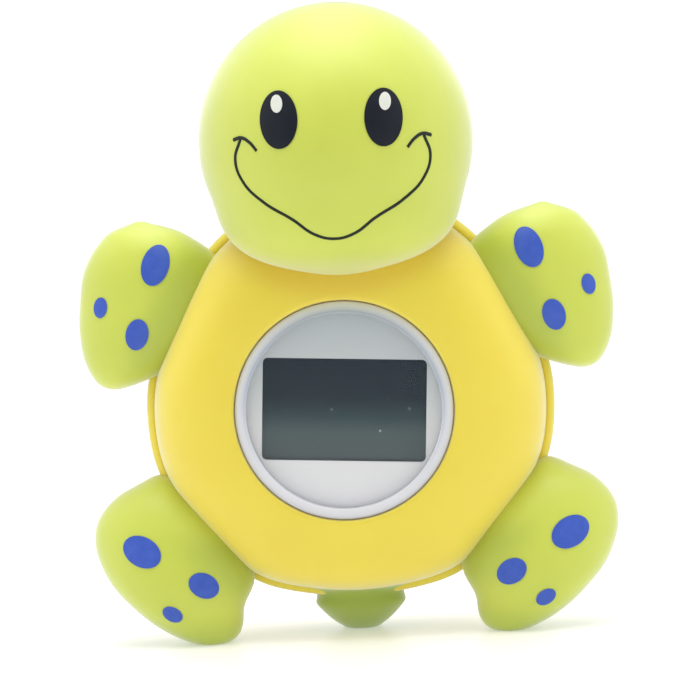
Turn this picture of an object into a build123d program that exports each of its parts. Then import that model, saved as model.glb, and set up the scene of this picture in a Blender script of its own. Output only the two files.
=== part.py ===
from build123d import *

import os
from math import atan2, cos, degrees, radians, sin

# A floating thermometer for baths and small pools, shaped like a turtle that stands on its hind
# feet and tail. A hollow soft-vinyl turtle holds a sealed round capsule. The capsule shows its
# liquid-crystal display in the belly and its sensor and battery cap in the turtle's back.
#
# Frame: millimetres, +Z up, the display faces -Y, and +X is to the right of someone reading it.
# The origin is on the floor, under the centre of the bounding box. Left and right are the reader's.

# ---- Turtle: driving dimensions ----
VINYL = 2.0  # wall of every soft casting
HEAD_RADIUS = 23.8
HEAD_Y = -1.8
HEAD_Z = 87.5
JAW_ANGLE = 30  # how far below the middle of the ball the fuller jaw starts, in degrees
HALF_DEPTH = HEAD_RADIUS - HEAD_Y  # the face and the shell's flat back stand this far from the origin
SHELL_DEPTH = 32.5  # belly front to flat back
BELLY_FRONT = HALF_DEPTH - SHELL_DEPTH
BEAD = 3.5  # width of the bead round the shell's rim
BEAD_PROUD = 1.5  # how far the bead stands outside the belly
SHELL_MID = HALF_DEPTH - 17.0  # the bead's middle, and the plane that the limbs lie in
PARTING = SHELL_MID - BEAD / 2  # where the belly meets the bead
BELLY_ROUND = 9.0
BACK_ROUND = 9.0
BELLY_DRAFT = 4.0
BACK_DRAFT = 13.0
CORNER = 9.0  # rounding of the shell's eight corners, seen from the front

# Corners of the right half of the shell's outline, as X and Z.
FOOT_CORNER = (19.2, 9.2)
HIP = (35.0, 28.5)
SIDE = (36.1, 37.9)
ARMPIT = (36.2, 46.6)
SHOULDER = (24.2, 70.3)
NAPE = (12.8, 78.0)
SHELL_BOTTOM = 5.4
SHELL_TOP = 80.0

# ---- Capsule: driving dimensions. Depths run backwards from the front of the lens ----
CAPSULE_X = -0.8  # the round socket is moulded a little off the middle
CAPSULE_Z = 40.7
DISPLAY_TURN = 3.6  # the round capsule sits turned this far clockwise in its socket, in degrees
LENS_FRONT = BELLY_FRONT - 0.3
FIT = 0.15  # clearance round the capsule in its socket, and round the battery cap
SLIP = 0.1  # clearance between pieces that are fitted together once
LENS_RADIUS = 19.0
LENS_THICK = 2.0
LENS_RIM = 1.9  # width of the bevelled rim round the lens
LENS_BEVEL = 0.9  # depth of that bevel
GASKET = 0.6  # thickness of both case gaskets
BODY_RADIUS = 18.4
BODY_BORE = 17.5
BODY_REAR_BORE = 16.4  # the circuit board rests on the step between the two bores
PANEL_RADIUS = 17.1
PANEL_THICK = 0.8
WINDOW = (28.5, 17.8)  # what shows of the display
WINDOW_CORNER = 0.9
POLARIZER = (28.9, 18.0, 0.2)
GLASS = (29.4, 18.4, 0.7)
REAR_GLASS = (29.4, 15.4, 0.7)
REFLECTOR = (29.0, 15.0, 0.25)
GLASS_CORNER = 0.5
STRIP = (24.0, 1.2)
STRIP_V = 8.45  # height of each rubber contact strip above or below the display's middle
BOARD_RADIUS = 17.3
BOARD_DEPTH = 8.4
BOARD_THICK = 1.0
BODY_REAR_DEPTH = 13.4
BOSS_RADIUS = 2.1
BOSS_CIRCLE = 16.2
COVER_FLANGE = 2.0
NECK_RADIUS = 15.0
NECK_BORE = 13.2
COVER_WALL = 2.0
REAR_DEPTH = 30.6  # the capsule's rear face
CELL_RADIUS = 5.8  # LR44 button cells, two in a stack
CELL_HEIGHT = 5.4
CELL_BORE = 6.1
TUBE_RADIUS = 8.9
TUBE_START = 11.4
TUBE_FLOOR = 0.9
SPRING_SHEET = 0.3
SPRING_HEIGHT = 1.7
CAP_RADIUS = 8.2
CAP_FLANGE = 1.2
CAP_SEAL = 0.5
CAP_NECK = 6.5
CAP_BORE = 7.1
THREAD_CREST = 6.85
THREAD_PITCH = 1.3
BATTERY_AT = (0, -4.5)  # places on the dial: right of and above its middle
SENSOR_AT = (0, 9.6)
CONTACTS_AT = ((-7.2, 8.2), (7.2, 8.2))
SENSOR_RADIUS = 2.5
SENSOR_PROUD = 1.5
CONTACT_RADIUS = 1.0


def front_plane(y):
    """The XZ plane at that Y, seen from the front: X to the right, Z up."""
    return Plane.XZ.offset(-y)


DIAL = Plane(
    origin=(CAPSULE_X, LENS_FRONT, CAPSULE_Z),
    x_dir=(cos(radians(DISPLAY_TURN)), 0, -sin(radians(DISPLAY_TURN))),
    z_dir=(0, -1, 0),
)


def dial_at(depth):
    """The dial's plane, that deep behind the front of the lens."""
    return DIAL.offset(-depth)


def put_disc(depth, thick, radius, at=((0, 0),), mode=Mode.ADD):
    """Add or cut round discs that start that deep behind the front of the lens."""
    with BuildSketch(dial_at(depth)) as outline:
        with Locations(*at):
            Circle(radius)
    extrude(outline.sketch, amount=-thick, mode=mode)


def put_ring(depth, thick, radius, bore, at=((0, 0),)):
    """Add flat rings that start that deep behind the front of the lens."""
    put_disc(depth, thick, radius, at)
    put_disc(depth, thick, bore, at, mode=Mode.SUBTRACT)


def put_block(depth, thick, size, at=((0, 0),), corner=0.1, mode=Mode.ADD):
    """Add or cut round-cornered blocks that start that deep behind the front of the lens."""
    with BuildSketch(dial_at(depth)) as outline:
        with Locations(*at):
            RectangleRounded(size[0], size[1], corner)
    extrude(outline.sketch, amount=-thick, mode=mode)


def around(radius, angles):
    """Places on a circle about the dial's middle."""
    return [(radius * cos(radians(angle)), radius * sin(radians(angle))) for angle in angles]


def rear_edges(part):
    """The edges that lie furthest back."""
    return part.edges().group_by(Axis.Y)[-1]


def shell_outline(inset):
    """The shell seen from the front: a round-cornered octagon with bowed sides."""
    left = [(-x, z) for x, z in (FOOT_CORNER, HIP, SIDE, ARMPIT, SHOULDER, NAPE)]
    with BuildSketch() as outline:
        with BuildLine():
            ThreePointArc(left[0], (0, SHELL_BOTTOM), FOOT_CORNER)
            Line(FOOT_CORNER, HIP)
            ThreePointArc(HIP, SIDE, ARMPIT)
            Polyline(ARMPIT, SHOULDER, NAPE)
            ThreePointArc(NAPE, (0, SHELL_TOP), left[5])
            Polyline(left[5], left[4], left[3])
            ThreePointArc(left[3], left[2], left[1])
            Line(left[1], left[0])
        make_face()
        fillet(outline.vertices(), radius=CORNER)
        offset(amount=-inset)
    return outline.sketch


def belly_form(inset):
    """The belly's puffed outside, or its inside where inset is the wall."""
    with BuildPart() as form:
        with BuildSketch(front_plane(PARTING)):
            add(shell_outline(BEAD_PROUD + inset))
        extrude(amount=PARTING - BELLY_FRONT - inset, taper=BELLY_DRAFT)
        fillet(form.faces().sort_by(Axis.Y)[0].edges(), radius=BELLY_ROUND - inset)
    return form.part


def back_form(inset):
    """The domed back of the shell, or its inside where inset is the wall."""
    with BuildPart() as form:
        with BuildSketch(front_plane(PARTING)):
            add(shell_outline(BEAD_PROUD + inset))
        extrude(amount=-(HALF_DEPTH - PARTING - inset), taper=BACK_DRAFT)
        fillet(form.faces().sort_by(Axis.Y)[-1].edges(), radius=BACK_ROUND - inset)
    return form.part


def head_form(inset):
    """A ball, a little full at the jaw."""
    radius = HEAD_RADIUS - inset
    with BuildPart() as form:
        with BuildSketch(front_plane(HEAD_Y)):
            with BuildLine():
                ball = CenterArc((0, HEAD_Z), radius, 90, -90 - JAW_ANGLE)
                jaw = (0.79 * radius, HEAD_Z - 0.725 * radius)
                chin = (0.5 * radius, HEAD_Z - 0.935 * radius)
                under_jaw = ThreePointArc(ball @ 1, jaw, chin)
                TangentArc(chin, (0, HEAD_Z - radius), tangent=under_jaw % 1)
                Line((0, HEAD_Z - radius), (0, HEAD_Z + radius))
            make_face()
        revolve(axis=Axis((0, HEAD_Y, 0), (0, 0, 1)))
    return form.part


# Level sections of a limb on the right, each as Z, inner X, outer X, half thickness and middle Y.
ARM = [
    (74.3, 33.9, 37.0, 1.4, SHELL_MID - 1.0),
    (73.2, 30.1, 40.2, 3.8, SHELL_MID - 1.0),
    (71.1, 26.2, 42.8, 6.0, SHELL_MID - 0.9),
    (67.0, 21.4, 45.5, 7.9, SHELL_MID - 0.7),
    (60.9, 19.9, 46.8, 8.6, SHELL_MID - 0.5),
    (54.7, 23.0, 47.1, 8.3, SHELL_MID - 0.7),
    (50.7, 27.6, 46.5, 7.2, SHELL_MID - 1.0),
    (47.9, 32.6, 45.3, 5.4, SHELL_MID - 1.4),
    (46.2, 36.9, 44.0, 3.1, SHELL_MID - 1.7),
    (45.5, 39.4, 42.8, 1.4, SHELL_MID - 1.8),
]
LEG = [
    (29.3, 32.6, 35.9, 2.6, SHELL_MID - 0.5),
    (28.3, 30.0, 37.9, 4.6, SHELL_MID - 0.6),
    (26.3, 26.5, 41.8, 6.8, SHELL_MID - 0.8),
    (22.3, 22.4, 45.5, 8.8, SHELL_MID - 1.4),
    (18.3, 19.9, 46.3, 9.6, SHELL_MID - 2.1),
    (14.2, 18.5, 45.3, 9.8, SHELL_MID - 2.8),
    (10.1, 18.5, 43.1, 9.4, SHELL_MID - 3.4),
    (6.0, 20.4, 39.3, 8.4, SHELL_MID - 3.9),
    (2.6, 20.9, 35.0, 6.9, SHELL_MID - 4.2),
    (0.8, 21.9, 31.6, 5.5, SHELL_MID - 4.4),
    (0.0, 23.3, 29.4, 4.2, SHELL_MID - 4.5),
]
TAIL = [
    (12.0, -9.8, 9.8, 7.0, SHELL_MID + 1.5),
    (8.0, -9.2, 9.2, 6.9, SHELL_MID + 2.6),
    (4.6, -7.8, 7.8, 6.2, SHELL_MID + 4.0),
    (2.6, -6.1, 6.1, 5.2, SHELL_MID + 5.0),
    (0.7, -3.9, 3.9, 3.6, SHELL_MID + 6.0),
    (0.0, -2.7, 2.7, 2.5, SHELL_MID + 6.3),
]
# Where each limb's open root ends inside the shell, and the way it points out of the shell.
ARM_ROOT = Plane(origin=(25.4, SHELL_MID, 55.8), z_dir=(0.887, 0, 0.462))
LEG_ROOT = Plane(origin=(23.4, SHELL_MID, 22.4), z_dir=(0.79, 0, -0.614))
TAIL_ROOT = Plane(origin=(0, SHELL_MID, 10.6), z_dir=(0, 0, -1))


def limb_form(sections, inset):
    """A soft pad lofted through level ovals. An inset form leaves out the ovals that are too small for it."""
    with BuildPart() as form:
        for z, inner, outer, half_thick, y in sections:
            half_wide = (outer - inner) / 2 - inset
            if min(half_wide, half_thick - inset) < inset / 2:
                continue
            with BuildSketch(Plane.XY.offset(z)):
                with Locations(((inner + outer) / 2, y)):
                    Ellipse(half_wide, half_thick - inset)
        loft()
    return form.part


def hollow_limb(sections, root):
    """A limb's casting: closed at its tip, open where it ends inside the shell."""
    with BuildPart() as limb:
        add(limb_form(sections, 0))
        add(limb_form(sections, VINYL), mode=Mode.SUBTRACT)
        split(bisect_by=root, keep=Keep.TOP)
    return limb.part


def mirrored(shape):
    """The same shape on the reader's left."""
    return mirror(shape, about=Plane.YZ, mode=Mode.PRIVATE)


HEAD_OUTSIDE = head_form(0)
ARM_OUTSIDE = limb_form(ARM, 0)
LEG_OUTSIDE = limb_form(LEG, 0)
TAIL_OUTSIDE = limb_form(TAIL, 0)
PLUGGED_IN = [
    HEAD_OUTSIDE,
    ARM_OUTSIDE,
    mirrored(ARM_OUTSIDE),
    LEG_OUTSIDE,
    mirrored(LEG_OUTSIDE),
    TAIL_OUTSIDE,
]

# ---- Turtle: the soft castings ----
SOCKET_STEP = 1.8  # depth of the wide mouth of the belly's opening; the lens rests on its floor
SOCKET_MOUTH = LENS_RADIUS + FIT
SOCKET_BORE = BODY_RADIUS + FIT
SOCKET_LENGTH = 9.0
COLLAR_WALL = 1.8
REAR_BORE = NECK_RADIUS + FIT
REAR_COLLAR_LENGTH = 6.0
NECK_HOLE = 8.0


def put_collar(y, length, bore):
    """Add a collar round the capsule's axis, from that Y back by length, and open its bore."""
    for radius, mode in ((bore + COLLAR_WALL, Mode.ADD), (bore, Mode.SUBTRACT)):
        with BuildSketch(front_plane(y)) as outline:
            with Locations((CAPSULE_X, CAPSULE_Z)):
                Circle(radius)
        extrude(outline.sketch, amount=-length, mode=mode)


with BuildPart() as belly_shell:
    add(belly_form(0))
    add(belly_form(VINYL), mode=Mode.SUBTRACT)
    put_collar(BELLY_FRONT, SOCKET_LENGTH, SOCKET_BORE)
    with BuildSketch(front_plane(BELLY_FRONT)):
        with Locations((CAPSULE_X, CAPSULE_Z)):
            Circle(SOCKET_MOUTH)
    extrude(amount=-SOCKET_STEP, mode=Mode.SUBTRACT)
    add(PLUGGED_IN, mode=Mode.SUBTRACT)

with BuildPart() as back_shell:
    with BuildSketch(front_plane(PARTING)):
        add(shell_outline(0))
    extrude(amount=-BEAD)
    fillet(back_shell.faces().filter_by(Axis.Y).edges(), radius=BEAD * 0.45)
    add(back_form(0))
    add(back_form(VINYL), mode=Mode.SUBTRACT)
    put_collar(HALF_DEPTH - REAR_COLLAR_LENGTH, REAR_COLLAR_LENGTH, REAR_BORE)
    add(PLUGGED_IN, mode=Mode.SUBTRACT)

with BuildPart() as head:
    add(HEAD_OUTSIDE)
    add(head_form(VINYL), mode=Mode.SUBTRACT)
    with BuildSketch(Plane.XY.offset(HEAD_Z - HEAD_RADIUS - VINYL)):
        with Locations((0, HEAD_Y + NECK_HOLE)):
            Circle(NECK_HOLE)
    extrude(amount=HEAD_RADIUS / 2, mode=Mode.SUBTRACT)

with BuildPart() as front_flipper_right:
    add(hollow_limb(ARM, ARM_ROOT))

with BuildPart() as front_flipper_left:
    add(mirrored(front_flipper_right.part))

with BuildPart() as hind_foot_right:
    add(hollow_limb(LEG, LEG_ROOT))

with BuildPart() as hind_foot_left:
    add(mirrored(hind_foot_right.part))

with BuildPart() as tail:
    add(hollow_limb(TAIL, TAIL_ROOT))

# ---- Capsule: lens, panel and display ----
BODY_FRONT = LENS_THICK + GASKET
PANEL_BACK = LENS_THICK + PANEL_THICK
GLASS_DEPTH = PANEL_BACK + POLARIZER[2]
REAR_GLASS_DEPTH = GLASS_DEPTH + GLASS[2]
REFLECTOR_DEPTH = REAR_GLASS_DEPTH + REAR_GLASS[2]
POCKET_DEPTH = REFLECTOR_DEPTH + REFLECTOR[2]
BOARD_BACK = BOARD_DEPTH + BOARD_THICK
STRIPS_AT = {"upper": ((0, STRIP_V),), "lower": ((0, -STRIP_V),)}
BOARD_SCREWS_AT = around(14.4, (55, 125, 235, 305))
BOARD_SCREW = 0.7
PART_POCKET = (26.0, 11.0)

with BuildPart() as lens:
    put_disc(LENS_BEVEL, LENS_THICK - LENS_BEVEL, LENS_RADIUS)
    with BuildSketch(dial_at(LENS_BEVEL)):
        Circle(LENS_RADIUS)
    extrude(amount=LENS_BEVEL, taper=degrees(atan2(LENS_RIM, LENS_BEVEL)))

with BuildPart() as lens_seal:
    put_ring(LENS_THICK, GASKET, BODY_RADIUS - SLIP, BODY_BORE)

with BuildPart() as display_panel:
    put_disc(LENS_THICK, PANEL_THICK, PANEL_RADIUS)
    put_block(LENS_THICK, PANEL_THICK, WINDOW, corner=WINDOW_CORNER, mode=Mode.SUBTRACT)

with BuildPart() as lcd_polarizer:
    put_block(PANEL_BACK, POLARIZER[2], POLARIZER, corner=GLASS_CORNER)

with BuildPart() as lcd_front_glass:
    put_block(GLASS_DEPTH, GLASS[2], GLASS, corner=GLASS_CORNER)

with BuildPart() as lcd_rear_glass:
    put_block(REAR_GLASS_DEPTH, REAR_GLASS[2], REAR_GLASS, corner=GLASS_CORNER)

with BuildPart() as lcd_reflector:
    put_block(REFLECTOR_DEPTH, REFLECTOR[2], REFLECTOR, corner=GLASS_CORNER)

with BuildPart() as lcd_frame:
    put_disc(PANEL_BACK, BOARD_DEPTH - PANEL_BACK, BODY_BORE - SLIP)
    pocket = (GLASS[0] + 2 * SLIP, GLASS[1] + 2 * SLIP)
    put_block(PANEL_BACK, POCKET_DEPTH - PANEL_BACK, pocket, corner=GLASS_CORNER, mode=Mode.SUBTRACT)
    slot = (STRIP[0] + 2 * SLIP, STRIP[1] + 2 * SLIP)
    for place in STRIPS_AT.values():
        put_block(PANEL_BACK, BOARD_DEPTH - PANEL_BACK, slot, place, mode=Mode.SUBTRACT)
    put_block(BOARD_DEPTH - 2.5, 2.5, PART_POCKET, corner=1.0, mode=Mode.SUBTRACT)
    put_disc(BOARD_DEPTH - 2.9, 2.9, BOARD_SCREW, BOARD_SCREWS_AT, mode=Mode.SUBTRACT)

with BuildPart() as contact_strip_upper:
    put_block(REAR_GLASS_DEPTH, BOARD_DEPTH - REAR_GLASS_DEPTH, STRIP, STRIPS_AT["upper"])

with BuildPart() as contact_strip_lower:
    put_block(REAR_GLASS_DEPTH, BOARD_DEPTH - REAR_GLASS_DEPTH, STRIP, STRIPS_AT["lower"])

# ---- Capsule: circuit board ----
BLOB_AT = ((-8.6, 2.6),)
BLOB_RADIUS = 3.4
BLOB_HEIGHT = 1.3
CRYSTAL_AT = (8.6, 2.4)
CRYSTAL_RADIUS = 1.0
CRYSTAL_LENGTH = 6.0
CHIPS_AT = ((-3.2, 12.6), (3.2, 12.6), (-9.0, -8.4), (9.0, -8.4), (-12.6, 5.4))
CHIP = (2.0, 1.25)
CHIP_HEIGHT = 0.6

with BuildPart() as circuit_board:
    put_disc(BOARD_DEPTH, BOARD_THICK, BOARD_RADIUS)
    put_disc(BOARD_DEPTH, BOARD_THICK, BOARD_SCREW + SLIP, BOARD_SCREWS_AT, mode=Mode.SUBTRACT)

with BuildPart() as chip_blob:
    put_disc(BOARD_BACK, BLOB_HEIGHT, BLOB_RADIUS, BLOB_AT)
    fillet(rear_edges(chip_blob), radius=BLOB_HEIGHT * 0.85)

with BuildPart() as quartz_crystal:
    lying = Location((*CRYSTAL_AT, 0), (0, 90, 0))
    with Locations(dial_at(BOARD_BACK + CRYSTAL_RADIUS).location * lying):
        Cylinder(CRYSTAL_RADIUS, CRYSTAL_LENGTH)

with BuildPart() as chip_parts:
    put_block(BOARD_BACK, CHIP_HEIGHT, CHIP, CHIPS_AT)

with BuildPart() as board_screws:
    put_disc(BOARD_DEPTH - 2.6, 2.6 + BOARD_THICK, BOARD_SCREW, BOARD_SCREWS_AT)
    put_disc(BOARD_BACK, 0.8, 1.3, BOARD_SCREWS_AT)

# ---- Capsule: case ----
CASE_SCREWS_AT = around(16.5, (90, 210, 330))
BOSSES_AT = around(BOSS_CIRCLE, (90, 210, 330))
CASE_SCREW = 0.75
CASE_SCREW_HEAD = 1.4
BOSS_DEPTH = BOARD_BACK + 0.4
FLANGE_DEPTH = BODY_REAR_DEPTH + GASKET
NECK_DEPTH = FLANGE_DEPTH + COVER_FLANGE
COVER_INSIDE = REAR_DEPTH - COVER_WALL
CAP_SEAT = REAR_DEPTH - CAP_FLANGE - CAP_SEAL
SPRING_DEPTH = TUBE_START + TUBE_FLOOR
CELL_DEPTH = SPRING_DEPTH + SPRING_SHEET + SPRING_HEIGHT
CELLS_END = CELL_DEPTH + 2 * CELL_HEIGHT
STRAP_U = 6.55  # how far right of the battery's axis the side contact stands
STRAP = (SPRING_SHEET, 2.8)
STRAP_DEPTH = 12.9
STRAP_AT = ((BATTERY_AT[0] + STRAP_U, BATTERY_AT[1]),)
LEAD = 0.35

with BuildPart() as capsule_body:
    put_ring(BODY_FRONT, BODY_REAR_DEPTH - BODY_FRONT, BODY_RADIUS, BODY_REAR_BORE)
    put_disc(BOSS_DEPTH, BODY_REAR_DEPTH - BOSS_DEPTH, BOSS_RADIUS, BOSSES_AT)
    put_disc(BODY_FRONT, BOARD_BACK - BODY_FRONT, BODY_BORE, mode=Mode.SUBTRACT)
    put_disc(BODY_REAR_DEPTH - 3, 3, CASE_SCREW, CASE_SCREWS_AT, mode=Mode.SUBTRACT)

with BuildPart() as case_seal:
    put_ring(BODY_REAR_DEPTH, GASKET, BODY_RADIUS - SLIP, BODY_REAR_BORE)
    put_disc(BODY_REAR_DEPTH, GASKET, BOSS_RADIUS - SLIP, BOSSES_AT)
    put_disc(BODY_REAR_DEPTH, GASKET, CASE_SCREW + SLIP, CASE_SCREWS_AT, mode=Mode.SUBTRACT)

with BuildPart() as rear_cover:
    put_disc(FLANGE_DEPTH, COVER_FLANGE, BODY_RADIUS)
    put_disc(NECK_DEPTH, REAR_DEPTH - NECK_DEPTH, NECK_RADIUS)
    put_disc(FLANGE_DEPTH, COVER_INSIDE - FLANGE_DEPTH, NECK_BORE, mode=Mode.SUBTRACT)
    put_disc(TUBE_START, COVER_INSIDE - TUBE_START, TUBE_RADIUS, (BATTERY_AT,))
    put_disc(SPRING_DEPTH, CELLS_END - SPRING_DEPTH, CELL_BORE, (BATTERY_AT,), mode=Mode.SUBTRACT)
    put_disc(CELLS_END, CAP_SEAT - CELLS_END, CAP_BORE, (BATTERY_AT,), mode=Mode.SUBTRACT)
    put_disc(CAP_SEAT, REAR_DEPTH - CAP_SEAT, CAP_RADIUS + FIT, (BATTERY_AT,), mode=Mode.SUBTRACT)
    put_disc(TUBE_START, TUBE_FLOOR, LEAD + SLIP, (BATTERY_AT,), mode=Mode.SUBTRACT)
    put_disc(TUBE_START, STRAP_DEPTH - TUBE_START, LEAD + SLIP, STRAP_AT, mode=Mode.SUBTRACT)
    strap_slot = (2.9, STRAP[1] + 0.4)
    put_block(STRAP_DEPTH, CELLS_END - STRAP_DEPTH, strap_slot, ((7.45, BATTERY_AT[1]),), mode=Mode.SUBTRACT)
    put_disc(COVER_INSIDE, COVER_WALL, SENSOR_RADIUS + SLIP, (SENSOR_AT,), mode=Mode.SUBTRACT)
    put_disc(COVER_INSIDE, COVER_WALL, CONTACT_RADIUS, CONTACTS_AT, mode=Mode.SUBTRACT)
    put_disc(FLANGE_DEPTH, COVER_FLANGE, CASE_SCREW + SLIP, CASE_SCREWS_AT, mode=Mode.SUBTRACT)

with BuildPart() as case_screws:
    put_disc(BODY_REAR_DEPTH - 2.7, NECK_DEPTH - BODY_REAR_DEPTH + 2.7, CASE_SCREW, CASE_SCREWS_AT)
    put_disc(NECK_DEPTH, 1.2, CASE_SCREW_HEAD, CASE_SCREWS_AT)
    put_block(NECK_DEPTH + 0.6, 0.6, (1.9, 0.4), CASE_SCREWS_AT, mode=Mode.SUBTRACT)
    put_block(NECK_DEPTH + 0.6, 0.6, (0.4, 1.9), CASE_SCREWS_AT, mode=Mode.SUBTRACT)

# ---- Capsule: batteries and their contacts ----


def put_cell(depth):
    """Add an LR44 cell: its raised negative face looks forward, its can is positive."""
    put_disc(depth, 0.6, 4.9, (BATTERY_AT,))
    put_disc(depth + 0.6, CELL_HEIGHT - 0.6, CELL_RADIUS, (BATTERY_AT,))


with BuildPart() as coin_cell_inner:
    put_cell(CELL_DEPTH)
    fillet(rear_edges(coin_cell_inner), radius=0.4)

with BuildPart() as coin_cell_outer:
    put_cell(CELL_DEPTH + CELL_HEIGHT)
    fillet(rear_edges(coin_cell_outer), radius=0.4)

with BuildPart() as battery_spring:
    put_disc(SPRING_DEPTH, SPRING_SHEET, 5.4, (BATTERY_AT,))
    fingers = dial_at(SPRING_DEPTH).location * Location((*BATTERY_AT, 0))
    from_front = (Align.CENTER, Align.CENTER, Align.MAX)
    with Locations(fingers):
        Cone(2.0, 4.8, SPRING_HEIGHT + SPRING_SHEET, align=from_front)
        Cone(1.5, 4.3, SPRING_HEIGHT + SPRING_SHEET, align=from_front, mode=Mode.SUBTRACT)
    with BuildSketch(dial_at(SPRING_DEPTH + SPRING_SHEET)):
        with Locations(BATTERY_AT):
            with PolarLocations(4.0, 3):
                Rectangle(4.0, 1.0)
    extrude(amount=-SPRING_HEIGHT, mode=Mode.SUBTRACT)

with BuildPart() as battery_side_contact:
    put_block(STRAP_DEPTH, CELLS_END - STRAP_DEPTH - 0.4, STRAP, STRAP_AT)
    put_block(CELLS_END - 3, 1.4, (0.6, 2.0), ((6.14, BATTERY_AT[1]),))

with BuildPart() as battery_leads:
    put_disc(BOARD_BACK, SPRING_DEPTH - BOARD_BACK, LEAD, (BATTERY_AT,))
    put_disc(BOARD_BACK, STRAP_DEPTH - BOARD_BACK, LEAD, STRAP_AT)

with BuildPart() as battery_cap_seal:
    put_ring(CAP_SEAT, CAP_SEAL, CAP_RADIUS - SLIP, CAP_NECK + SLIP, (BATTERY_AT,))

with BuildPart() as battery_cap:
    put_disc(REAR_DEPTH - CAP_FLANGE, CAP_FLANGE, CAP_RADIUS, (BATTERY_AT,))
    put_disc(CELLS_END + SLIP, REAR_DEPTH - CAP_FLANGE - CELLS_END - SLIP, CAP_NECK, (BATTERY_AT,))
    for turn in range(3):
        put_disc(CELLS_END + 0.3 + turn * THREAD_PITCH, 0.6, THREAD_CREST, (BATTERY_AT,))
    put_block(REAR_DEPTH - 0.8, 0.8, (11.0, 1.7), (BATTERY_AT,), corner=0.5, mode=Mode.SUBTRACT)

# ---- Capsule: temperature sensor and water contacts ----
WASHER = 0.5
SENSOR_FLANGE = 3.5
SENSOR_BORE = 2.15
SENSOR_END = REAR_DEPTH + SENSOR_PROUD
THERMISTOR_DEPTH = SENSOR_END - 2.3
CONTACT_START = COVER_INSIDE - 1.4
LEAD_GAP = 0.6

with BuildPart() as sensor_cap:
    put_disc(COVER_INSIDE - 2 * WASHER, WASHER, SENSOR_FLANGE, (SENSOR_AT,))
    put_disc(COVER_INSIDE - WASHER, SENSOR_END - COVER_INSIDE + WASHER, SENSOR_RADIUS, (SENSOR_AT,))
    fillet(rear_edges(sensor_cap), radius=1.0)
    hollow = SENSOR_END - COVER_INSIDE + 2 * WASHER - 0.35
    put_disc(COVER_INSIDE - 2 * WASHER, hollow, SENSOR_BORE - 0.6, (SENSOR_AT,), mode=Mode.SUBTRACT)

with BuildPart() as sensor_seal:
    put_ring(COVER_INSIDE - WASHER, WASHER, SENSOR_FLANGE, SENSOR_RADIUS + SLIP / 2, (SENSOR_AT,))

with BuildPart() as thermistor:
    put_disc(THERMISTOR_DEPTH, 1.8, 0.95, (SENSOR_AT,))
    fillet(rear_edges(thermistor), radius=0.8)

with BuildPart() as thermistor_leads:
    places = [(SENSOR_AT[0] + side * LEAD_GAP, SENSOR_AT[1]) for side in (-1, 1)]
    put_disc(BOARD_BACK, THERMISTOR_DEPTH - BOARD_BACK, 0.2, places)

with BuildPart() as water_contacts:
    put_disc(CONTACT_START, REAR_DEPTH + 0.8 - CONTACT_START, CONTACT_RADIUS, CONTACTS_AT)
    fillet(rear_edges(water_contacts), radius=0.5)
    put_disc(COVER_INSIDE - 0.6, 0.6, CONTACT_RADIUS + 0.7, CONTACTS_AT)

with BuildPart() as water_contact_wires:
    put_disc(BOARD_BACK, CONTACT_START - BOARD_BACK, 0.3, CONTACTS_AT)

PIECES = {
    "belly_shell": belly_shell,
    "back_shell": back_shell,
    "head": head,
    "front_flipper_right": front_flipper_right,
    "front_flipper_left": front_flipper_left,
    "hind_foot_right": hind_foot_right,
    "hind_foot_left": hind_foot_left,
    "tail": tail,
    "lens": lens,
    "lens_seal": lens_seal,
    "display_panel": display_panel,
    "lcd_polarizer": lcd_polarizer,
    "lcd_front_glass": lcd_front_glass,
    "lcd_rear_glass": lcd_rear_glass,
    "lcd_reflector": lcd_reflector,
    "lcd_frame": lcd_frame,
    "contact_strip_upper": contact_strip_upper,
    "contact_strip_lower": contact_strip_lower,
    "circuit_board": circuit_board,
    "chip_blob": chip_blob,
    "quartz_crystal": quartz_crystal,
    "chip_parts": chip_parts,
    "board_screws": board_screws,
    "capsule_body": capsule_body,
    "case_seal": case_seal,
    "rear_cover": rear_cover,
    "case_screws": case_screws,
    "coin_cell_inner": coin_cell_inner,
    "coin_cell_outer": coin_cell_outer,
    "battery_spring": battery_spring,
    "battery_side_contact": battery_side_contact,
    "battery_leads": battery_leads,
    "battery_cap_seal": battery_cap_seal,
    "battery_cap": battery_cap,
    "sensor_cap": sensor_cap,
    "sensor_seal": sensor_seal,
    "thermistor": thermistor,
    "thermistor_leads": thermistor_leads,
    "water_contacts": water_contacts,
    "water_contact_wires": water_contact_wires,
}

os.makedirs("parts", exist_ok=True)
for name, piece in PIECES.items():
    piece.part.label = name
    export_step(piece.part, f"parts/{name}.step")
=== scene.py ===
"""A floating bath and pool thermometer: a soft vinyl turtle with a round display capsule.

Sizes are in millimetres until they reach a mesh, and MM turns them to metres. The frame has +Z up,
the display facing -Y, its origin on the floor, and left and right as seen by someone reading it.
"""

import math

import bmesh
import bpy
from mathutils import Matrix, Vector


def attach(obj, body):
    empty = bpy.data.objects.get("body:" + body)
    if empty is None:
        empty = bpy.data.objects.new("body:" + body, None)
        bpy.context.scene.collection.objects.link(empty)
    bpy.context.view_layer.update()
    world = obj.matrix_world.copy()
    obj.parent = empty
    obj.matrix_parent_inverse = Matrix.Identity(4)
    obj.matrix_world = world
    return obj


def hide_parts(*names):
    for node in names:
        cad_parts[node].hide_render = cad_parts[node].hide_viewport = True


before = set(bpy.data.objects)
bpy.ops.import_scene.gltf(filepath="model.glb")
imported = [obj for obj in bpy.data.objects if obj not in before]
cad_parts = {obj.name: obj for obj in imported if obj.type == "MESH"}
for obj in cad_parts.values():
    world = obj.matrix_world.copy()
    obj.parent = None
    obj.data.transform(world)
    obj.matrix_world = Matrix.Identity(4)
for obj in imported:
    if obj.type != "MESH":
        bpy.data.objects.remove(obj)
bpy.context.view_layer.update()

MM = 0.001

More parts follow.
